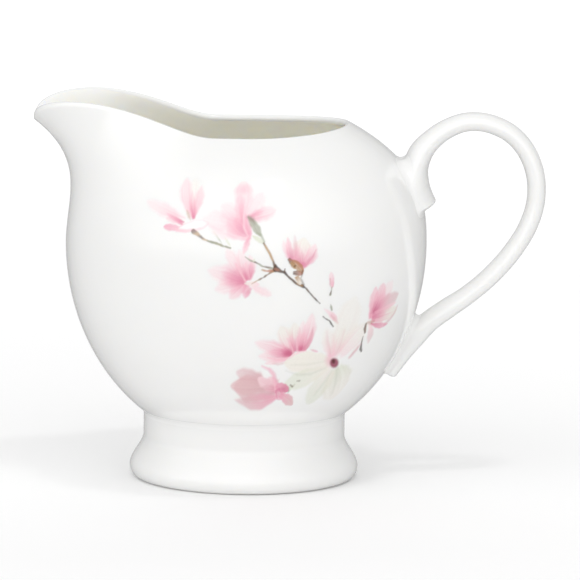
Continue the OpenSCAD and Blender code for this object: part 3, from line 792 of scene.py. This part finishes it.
    # Dusty blossom at the lower left
    petal((10.6, 27.8), (-3, 28.2), 4.4, DUSTY, DUSTY, (0.8, 0.75), 1.2, seed=8, root=0.7, widest=0.6,
          blunt=0.6)
    petal((7, 30.4), (-2.2, 32.6), 2.4, DUSTY, DUSTY, (0.9, 0.6), 1.2, seed=1, blunt=0.4)
    petal((8, 29), (-4, 28.6), 3.1, DUSTY, FADED, (0.95, 0.85), 1.2, seed=2, blunt=0.5)
    petal((11.4, 25.8), (-3.4, 25.0), 2.9, ROSE, DUSTY, (0.9, 0.7), 1.3, bend=1.2, widest=0.4, blunt=0.7,
          seed=3, root=0.3)
    petal((10.8, 28), (4, 31), 2.4, PALE, BLUSH, (0.85, 0.8), 1.0, seed=5)
    petal((10.8, 27.8), (4.6, 27.6), 2.0, DEEP, DUSTY, (0.6, 0.4), 1.1, seed=6, veins=0.5)
    dab((6.4, 32), (1.8, 1.3), -40, WHITE, 0.9, 0.6)
    stroke([(5.2, 34.2), (7.4, 33.3), (8.8, 31.8), (9.6, 29.8)], [0.2, 0.7, 1.0, 1.0], ROSE, 0.65, 0.45)
    stroke([(9, 30.6), (9.8, 28), (10.8, 25.2)], [0.3, 0.5, 0.3], PALE, 0.75, 0.3)
    petal((9.8, 29), (14.6, 27.2), 1.6, ROSE, DEEP, (0.95, 0.95), widest=0.45, root=0.5, seed=7)
    dab((12.4, 27.8), (1.6, 1.0), -20, CERISE, 0.45, 1.0)
    petal((10.4, 28), (12.6, 24.6), 1.6, DEEP, ROSE, (0.8, 0.7), 0.7, seed=8)
    petal((11.6, 26.4), (17.4, 23), 1.6, ROSE, FADED, (0.95, 0.95), bend=0.2, seed=9)
    stroke([(14.2, 26.8), (14.7, 27.9), (15.6, 28.9)], [0.3, 1.0, 0.4], BROWN, 0.6, 0.3, other=LEAF)
    stroke([(14.4, 28.9), (15.1, 28.4)], [0.3, 0.5], BROWN, 0.7)
    stroke([(16.2, 29.9), (17, 29.9)], [0.3, 0.4], BROWN, 0.6, 0.3)


PRINT_CELL = 0.15
PRINT_LIFT = 0.03
PRINT_LEFT, PRINT_RIGHT = -30, 49
PRINT_LOW, PRINT_HIGH = 20, 82
LEAST_INK = 0.02


def make_print(material):
    """The transfer: a skin over the glaze where there is colour, its border tucked under the surface."""
    u = np.arange(PRINT_LEFT, PRINT_RIGHT, PRINT_CELL)
    z = np.arange(PRINT_LOW, PRINT_HIGH, PRINT_CELL)
    across, up = np.meshgrid(u, z)
    art = Artwork(across, up)
    paint_spray(art)
    inked = art.cover > LEAST_INK
    cell = inked[:-1, :-1] | inked[1:, :-1] | inked[:-1, 1:] | inked[1:, 1:]
    used = np.zeros_like(inked)
    whole = np.ones_like(inked)
    for rows, cols in ((slice(None, -1), slice(None, -1)), (slice(None, -1), slice(1, None)),
                       (slice(1, None), slice(None, -1)), (slice(1, None), slice(1, None))):
        used[rows, cols] |= cell
        whole[rows, cols] &= cell
    a = -90 + np.degrees(across / BELLY_R)
    lift = np.where(whole, PRINT_LIFT, -PRINT_LIFT / 2)
    points = polar(side_r(up, a), a, up)
    _, out = height_over_bowl(points)
    points += out * lift[..., None]
    index = np.full(inked.shape, -1)
    index[used] = np.arange(used.sum())
    quads = np.stack([index[:-1, :-1], index[:-1, 1:], index[1:, 1:], index[1:, :-1]], -1)[cell]
    piece = new_piece("magnolia_print", points[used], quads.tolist(), material)
    ink = piece.data.color_attributes.new("ink", "FLOAT_COLOR", "POINT")
    ink.data.foreach_set("color", np.concatenate([art.colour[used], art.cover[used][:, None]], 1).ravel())
    piece.data.normals_split_custom_set_from_vertices(out[used].tolist())
    add_piece(piece, "floral_transfer")


# ---------------- materials

def new_material(name):
    material = bpy.data.materials.new(name)
    material.use_nodes = True
    nodes = material.node_tree.nodes
    return material, nodes, material.node_tree.links, nodes["Principled BSDF"]


def dial(node, values):
    for name, value in values.items():
        node.inputs[name].default_value = value


def noise(nodes, links, scale, detail=2.0):
    place = nodes.new("ShaderNodeTexCoord")
    texture = nodes.new("ShaderNodeTexNoise")
    dial(texture, {"Scale": scale, "Detail": detail})
    links.new(place.outputs["Object"], texture.inputs["Vector"])
    return texture


def ramp(nodes, links, source, low, high, start=0.35, end=0.65):
    stops = nodes.new("ShaderNodeValToRGB")
    stops.color_ramp.elements[0].position, stops.color_ramp.elements[1].position = start, end
    stops.color_ramp.elements[0].color, stops.color_ramp.elements[1].color = low, high
    links.new(source, stops.inputs["Fac"])
    return stops


def span(nodes, links, source, limits):
    node = nodes.new("ShaderNodeMapRange")
    dial(node, limits)
    links.new(source, node.inputs["Value"])
    return node


def bump(nodes, links, shader, height, distance, strength=1.0, under=None):
    node = nodes.new("ShaderNodeBump")
    dial(node, {"Strength": strength, "Distance": distance * MM})
    links.new(height, node.inputs["Height"])
    if under is not None:
        links.new(under.outputs["Normal"], node.inputs["Normal"])
    links.new(node.outputs["Normal"], shader.inputs["Normal"])
    return node


def glaze(shader, depth=0.12, reach=1.5, coat=0.8):
    """Clear glaze over white porcelain, which lets light through its thin wall."""
    dial(shader, {"Roughness": 0.16, "IOR": 1.5,
                  "Coat Weight": coat, "Coat Roughness": 0.03, "Coat IOR": 1.5,
                  "Subsurface Weight": depth, "Subsurface Radius": (1.0, 0.9, 0.7),
                  "Subsurface Scale": reach * MM})


def make_porcelain(name, printed=False, inside=False, lightened_crease_glaze=False):
    """Faint clouding of the white body, and the slow ripple of a fired glaze.

    The inside has a lighter, warmer colour than the outside, which is painted light in its shaded hollow,
    and it scatters light deeply. The glaze in the creases is opaque and a little lighter, which is painted
    light against the shade that falls there. A printed one takes the colours painted on its mesh, with a
    fine grain.
    """
    material, nodes, links, shader = new_material(name)
    if inside:
        glaze(shader, depth=1.0, reach=4.0)
        # Painted light: a lighter, warmer colour than the outside's, for the shade inside the bowl
        low, high = (0.93, 0.92, 0.855, 1), (0.95, 0.94, 0.88, 1)
    elif lightened_crease_glaze:
        glaze(shader, depth=0.0, coat=0.45)
        # Painted light: a little lighter than the outside's colour, against the shade that falls in the
        # creases
        low, high = (0.90, 0.90, 0.89, 1), (0.925, 0.925, 0.915, 1)
    else:
        glaze(shader)
        low, high = (0.885, 0.885, 0.875, 1), (0.915, 0.915, 0.905, 1)
    cloud = noise(nodes, links, 18, 3.0)
    body = ramp(nodes, links, cloud.outputs["Fac"], low, high)
    colour = body.outputs["Color"]
    if printed:
        ink = nodes.new("ShaderNodeAttribute")
        ink.attribute_name = "ink"
        bare = nodes.new("ShaderNodeMix")
        bare.data_type = "RGBA"
        both = nodes.new("ShaderNodeVectorMath")
        links.new(ink.outputs["Alpha"], bare.inputs["Factor"])
        links.new(colour, bare.inputs[6])
        bare.inputs[7].default_value = (0, 0, 0, 1)
        links.new(bare.outputs[2], both.inputs[0])
        links.new(ink.outputs["Color"], both.inputs[1])
        grain = noise(nodes, links, 2200, 3.0)
        speck = span(nodes, links, grain.outputs["Fac"], {"To Min": 0.96, "To Max": 1.04})
        fleck = nodes.new("ShaderNodeVectorMath")
        fleck.operation = "SCALE"
        links.new(both.outputs["Vector"], fleck.inputs[0])
        links.new(speck.outputs["Result"], fleck.inputs["Scale"])
        colour = fleck.outputs["Vector"]
    links.new(colour, shader.inputs["Base Color"])
    ripple = noise(nodes, links, 45, 1.0)
    slow = bump(nodes, links, shader, ripple.outputs["Fac"], 0.06, 0.6)
    fine = noise(nodes, links, 420, 2.0)
    bump(nodes, links, shader, fine.outputs["Fac"], 0.003, 0.5, under=slow)
    return material


def make_bare_ring():
    """Unglazed porcelain of the contact ring: matt, faintly sandy and a little greyer."""
    material, nodes, links, shader = new_material("unglazed_ring")
    dial(shader, {"Roughness": 0.75})
    grain = noise(nodes, links, 2500, 4.0)
    sand = ramp(nodes, links, grain.outputs["Fac"], (0.80, 0.79, 0.76, 1), (0.88, 0.87, 0.84, 1))
    links.new(sand.outputs["Color"], shader.inputs["Base Color"])
    bump(nodes, links, shader, grain.outputs["Fac"], 0.05, 0.8)
    return material


def make_floor_material():
    """Plain pale paper, matt and without any shine."""
    material, nodes, links, shader = new_material("studio_floor")
    dial(shader, {"Roughness": 0.8, "Specular IOR Level": 0.0})
    soft = noise(nodes, links, 3, 1.0)
    low, high = (FLOOR_LOW,) * 3 + (1,), (FLOOR_HIGH,) * 3 + (1,)
    paper = ramp(nodes, links, soft.outputs["Fac"], low, high)
    links.new(paper.outputs["Color"], shader.inputs["Base Color"])
    return material


# ---------------- camera, light and floor

def make_camera():
    """A long lens that looks down a little on the printed side."""
    elevation, roll = math.radians(8.7), math.radians(0.755)
    distance, view_width = 1203, 145
    low, high = (np.array(corner) / MM for corner in cad_box)
    off_centre = Vector((0.4, 0, -0.7))
    target = Vector((low + high) / 2) + off_centre
    back = Vector((0, -math.cos(elevation), math.sin(elevation)))
    right = Vector((1, 0, 0))
    up = back.cross(right)
    turned_right = right * math.cos(roll) + up * math.sin(roll)
    turned_up = up * math.cos(roll) - right * math.sin(roll)
    data = bpy.data.cameras.new("camera")
    data.sensor_width = 36
    data.lens = data.sensor_width * distance / view_width
    data.clip_start, data.clip_end = 0.01, 30
    camera = bpy.data.objects.new("camera", data)
    axes = Matrix((turned_right, turned_up, back)).transposed().to_4x4()
    camera.matrix_world = Matrix.Translation((target + back * distance) * MM) @ axes
    bpy.context.scene.collection.objects.link(camera)
    bpy.context.scene.camera = camera


def area_light(name, place, size, power, aim=(0, 0, 0.05)):
    data = bpy.data.lights.new(name, "AREA")
    data.shape = "RECTANGLE"
    data.size, data.size_y = size
    data.energy = power
    light = bpy.data.objects.new(name, data)
    light.location = place
    light.rotation_euler = (Vector(place) - Vector(aim)).to_track_quat("Z", "Y").to_euler()
    bpy.context.scene.collection.objects.link(light)
    return light


OVERHEAD_POWER = 1.3
TOWARD_OVERHEAD = Vector((0.16, -0.26, 0.95))
OVERHEAD_DISTANCE = 1.4
DOME_HORIZON, DOME_ZENITH = 0.52, 0.74
DOME_SIDE_DIM = 0.08
DOME_KEY = 0.75
KEY_EDGE = -0.2
DOME_BELOW = 0.45
BELOW_FROM, BELOW_TO = -0.12, 0.02
KEY_DIRECTION = Vector((-0.20, -0.96, 0.12)).normalized()
FLOOR_LOW, FLOOR_HIGH = 0.95, 0.97
FLOOR_HALF, FLOOR_DROP = 6.0, 0.00005
BACKGROUND_POWER = 15


def make_dome():
    """Surrounding light: brighter overhead, a broad soft glow in front, and grey under the horizon."""
    world = bpy.data.worlds.new("studio")
    bpy.context.scene.world = world
    world.use_nodes = True
    nodes, links = world.node_tree.nodes, world.node_tree.links

    def join(operation, first, second):
        node = nodes.new("ShaderNodeMath")
        node.operation = operation
        links.new(first, node.inputs[0])
        links.new(second, node.inputs[1])
        return node.outputs["Value"]

    place = nodes.new("ShaderNodeTexCoord")
    split = nodes.new("ShaderNodeSeparateXYZ")
    links.new(place.outputs["Generated"], split.inputs["Vector"])
    height = span(nodes, links, split.outputs["Z"], {"To Min": DOME_HORIZON, "To Max": DOME_ZENITH})
    sideways = join("MULTIPLY", split.outputs["X"], split.outputs["X"])
    dim = span(nodes, links, sideways, {"To Min": 1, "To Max": 1 - DOME_SIDE_DIM})
    sky = join("MULTIPLY", height.outputs["Result"], dim.outputs["Result"])

    facing = nodes.new("ShaderNodeVectorMath")
    facing.operation = "DOT_PRODUCT"
    facing.inputs[1].default_value = KEY_DIRECTION
    links.new(place.outputs["Generated"], facing.inputs[0])
    key = span(nodes, links, facing.outputs["Value"], {"From Min": KEY_EDGE, "To Max": DOME_KEY})
    key.interpolation_type = "SMOOTHSTEP"

    total = join("ADD", sky, key.outputs["Result"])
    below = span(nodes, links, split.outputs["Z"],
                 {"From Min": BELOW_FROM, "From Max": BELOW_TO, "To Min": DOME_BELOW})
    links.new(total, below.inputs["To Max"])
    links.new(below.outputs["Result"], nodes["Background"].inputs["Strength"])
    nodes["Background"].inputs["Color"].default_value = (1, 1, 1, 1)


def make_floor():
    """A plain floor, a hair under the foot; the glaze doesn't mirror it."""
    left, right = -FLOOR_HALF, FLOOR_HALF
    mesh = bpy.data.meshes.new("floor")
    corners = [(left, left), (right, left), (right, right), (left, right)]
    mesh.from_pydata([(x, y, -FLOOR_DROP) for x, y in corners], [], [(0, 1, 2, 3)])
    mesh.materials.append(make_floor_material())
    floor = bpy.data.objects.new("floor", mesh)
    bpy.context.scene.collection.objects.link(floor)
    floor.visible_glossy = False


def make_studio():
    make_floor()
    area_light("overhead_softbox", TOWARD_OVERHEAD * OVERHEAD_DISTANCE, (0.20, 0.10), OVERHEAD_POWER)
    background = area_light("background_softbox", (0, 1.9, 1.3), (3.0, 1.6), BACKGROUND_POWER,
                            aim=(0, 1.9, 0))
    background.visible_glossy = False
    make_dome()
    bpy.context.scene.view_settings.view_transform = "Standard"


# ---------------- build

make_camera()
porcelain = make_porcelain("porcelain_glaze")
make_body(porcelain, make_porcelain("inner_glaze_painted_lighter", inside=True))
make_foot(porcelain, make_bare_ring())
lightened_crease_glaze = make_porcelain("crease_glaze_painted_lighter", lightened_crease_glaze=True)
make_foot_joint(lightened_crease_glaze)
handle_surface = make_handle(porcelain)
make_handle_joint("upper_handle_slip_fillet", handle_surface, UPPER_ROOT_Z, UPPER_BEAD, lightened_crease_glaze,
                  "upper_handle_slip_joint")
make_handle_joint("lower_handle_slip_fillet", handle_surface, LOWER_ROOT_Z, LOWER_BEAD, lightened_crease_glaze,
                  "lower_handle_slip_joint")
make_print(make_porcelain("printed_porcelain_glaze", printed=True))
make_studio()
